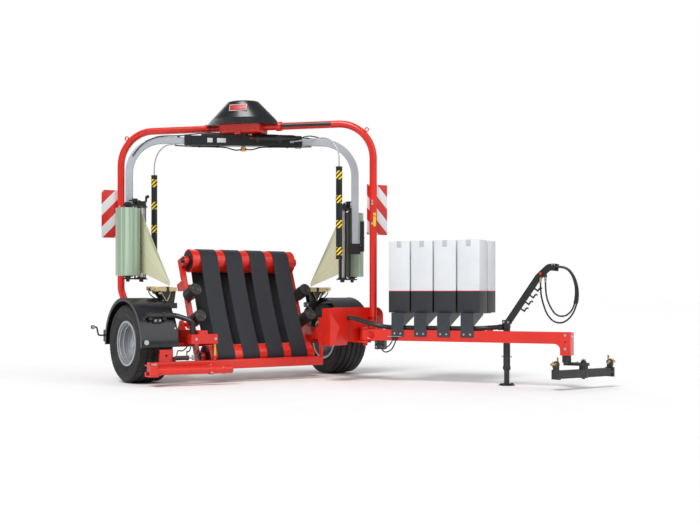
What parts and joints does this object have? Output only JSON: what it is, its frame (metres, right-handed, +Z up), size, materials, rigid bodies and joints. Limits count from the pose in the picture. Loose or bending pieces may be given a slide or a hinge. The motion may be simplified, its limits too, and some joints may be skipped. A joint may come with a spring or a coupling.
{
  "type": "trailed round-bale wrapper",
  "caption": "Trailed twin-satellite bale wrapper: tipping belt table, tubular arch, film carriages, swinging drawbar with film store and jack.",
  "frame": {"origin": "middle of the footprint, on the ground", "axes": "+X the way the machine travels, +Y to its left, +Z up"},
  "size_m": [4.598, 4.0994, 3.16],
  "materials": {
    "red_paint": "gloss coat",
    "black_paint": "satin coat",
    "slate_paint": "satin coat",
    "silver_paint": "satin coat",
    "black_plastic": "semi-gloss",
    "tyre_rubber": "matt",
    "rim_silver": "satin coat",
    "belt_rubber": "matt",
    "roller_rubber": "satin",
    "film_roll": "stretch film, gloss",
    "film_sheet": "stretch film, translucent",
    "zinc": "zinc plated",
    "brass": "satin",
    "carton": "printed board",
    "board": "retroreflective sheet",
    "lens": "gloss",
    "hose_rubber": "satin"
  },
  "bodies": {
    "chassis": {"axle": "red_paint", "side_beams": "red_paint", "front_bar": "red_paint", "cross_member": "red_paint", "mudguard_left": "black_plastic", "mudguard_right": "black_plastic", "mudguard_stay_left": "black_paint", "mudguard_stay_right": "black_paint", "arch": "red_paint", "hub_gearbox": "red_paint", "hub_cover": "black_plastic", "cutter_posts": "black_paint", "cutter_jaws": "zinc", "cover_box": "red_paint", "warning_boards": "board", "rear_lamps": "black_plastic", "lamp_lenses": "lens"},
    "wheel_left": {"tyre_left": "tyre_rubber", "rim_left": "rim_silver"},
    "wheel_right": {"tyre_right": "tyre_rubber", "rim_right": "rim_silver"},
    "rotor": {"rotor_beam": "black_paint", "rotor_arms": "silver_paint", "film_carriage_left": "black_paint", "film_carriage_right": "black_paint", "stretch_rollers_left": "zinc", "stretch_rollers_right": "zinc", "safety_bar_left": "black_plastic", "safety_bar_right": "black_plastic", "safety_rod_left": "silver_paint", "safety_rod_right": "silver_paint", "film_web_left": "film_sheet", "film_web_right": "film_sheet", "rotary_union": "brass"},
    "roll_left": {"film_roll_left": "film_roll"},
    "roll_right": {"film_roll_right": "film_roll"},
    "table": {"table_drums": "red_paint", "drum_shafts": "zinc", "table_belts": "belt_rubber", "table_frame": "red_paint"},
    "guide_left_upper": {"guide_roller_left_upper": "roller_rubber"},
    "guide_left_lower": {"guide_roller_left_lower": "roller_rubber"},
    "guide_right_upper": {"guide_roller_right_upper": "roller_rubber"},
    "guide_right_lower": {"guide_roller_right_lower": "roller_rubber"},
    "drawbar": {"drawbar": "red_paint", "yoke": "black_paint", "jack_tube": "black_paint", "film_racks": "slate_paint", "film_cartons": "carton", "hose_rack": "black_paint", "hose_holders": "black_paint", "hose_couplings": "zinc", "hose_loop_outer": "hose_rubber", "hose_loop_inner": "hose_rubber", "valve_box": "black_plastic"},
    "hitch": {"hitch_beam": "black_paint", "link_pins": "zinc"},
    "jack": {"jack_leg": "black_paint"},
    "loader": {"loading_arm": "red_paint"}
  },
  "joints": [
    {"name": "wheel_left_spin", "type": "hinge", "parent": "chassis", "child": "wheel_left", "pos_m": [-1.09953, 0.84031, 0.425], "axis": [0, 1, 0], "continuous": true},
    {"name": "wheel_right_spin", "type": "hinge", "parent": "chassis", "child": "wheel_right", "pos_m": [-1.09953, -1.69969, 0.425], "axis": [0, 1, 0], "continuous": true},
    {"name": "rotor_spin", "type": "hinge", "parent": "chassis", "child": "rotor", "pos_m": [-1.09953, -0.42969, 2.707], "axis": [0, 0, 1], "continuous": true},
    {"name": "roll_left_spin", "type": "hinge", "parent": "rotor", "child": "roll_left", "pos_m": [-0.6973, 0.81411, 1.162], "axis": [0, 0, 1], "continuous": true},
    {"name": "roll_right_spin", "type": "hinge", "parent": "rotor", "child": "roll_right", "pos_m": [-1.50176, -1.67348, 1.162], "axis": [0, 0, 1], "continuous": true},
    {"name": "table_tilt", "type": "hinge", "parent": "chassis", "child": "table", "pos_m": [-1.05036, -0.42969, 0.61944], "axis": [0, -1, 0], "range_deg": [0, 105]},
    {"name": "guide_left_upper_spin", "type": "hinge", "parent": "table", "child": "guide_left_upper", "pos_m": [-1.07334, 0.28331, 0.9416], "axis": [0.9336, 0, 0.3584], "continuous": true},
    {"name": "guide_left_lower_spin", "type": "hinge", "parent": "table", "child": "guide_left_lower", "pos_m": [-0.96296, 0.28331, 0.65406], "axis": [0.9336, 0, 0.3584], "continuous": true},
    {"name": "guide_right_upper_spin", "type": "hinge", "parent": "table", "child": "guide_right_upper", "pos_m": [-1.07334, -1.14269, 0.9416], "axis": [0.9336, 0, 0.3584], "continuous": true},
    {"name": "guide_right_lower_spin", "type": "hinge", "parent": "table", "child": "guide_right_lower", "pos_m": [-0.96296, -1.14269, 0.65406], "axis": [0.9336, 0, 0.3584], "continuous": true},
    {"name": "drawbar_swing", "type": "hinge", "parent": "chassis", "child": "drawbar", "pos_m": [0.10086, 0.43076, 0.45], "axis": [0, 0, -1], "range_deg": [0, 50]},
    {"name": "hitch_swivel", "type": "hinge", "parent": "drawbar", "child": "hitch", "pos_m": [2.23902, 1.59169, 0.236], "axis": [0, 0, 1], "range_deg": [-30, 60]},
    {"name": "jack_slide", "type": "slide", "parent": "drawbar", "child": "jack", "axis": [0, 0, 1], "range_m": [0, 0.145]},
    {"name": "loading_arm_swing", "type": "hinge", "parent": "chassis", "child": "loader", "pos_m": [-0.43453, -1.84969, 0.165], "axis": [0, 0, -1], "range_deg": [0, 80]}
  ]
}
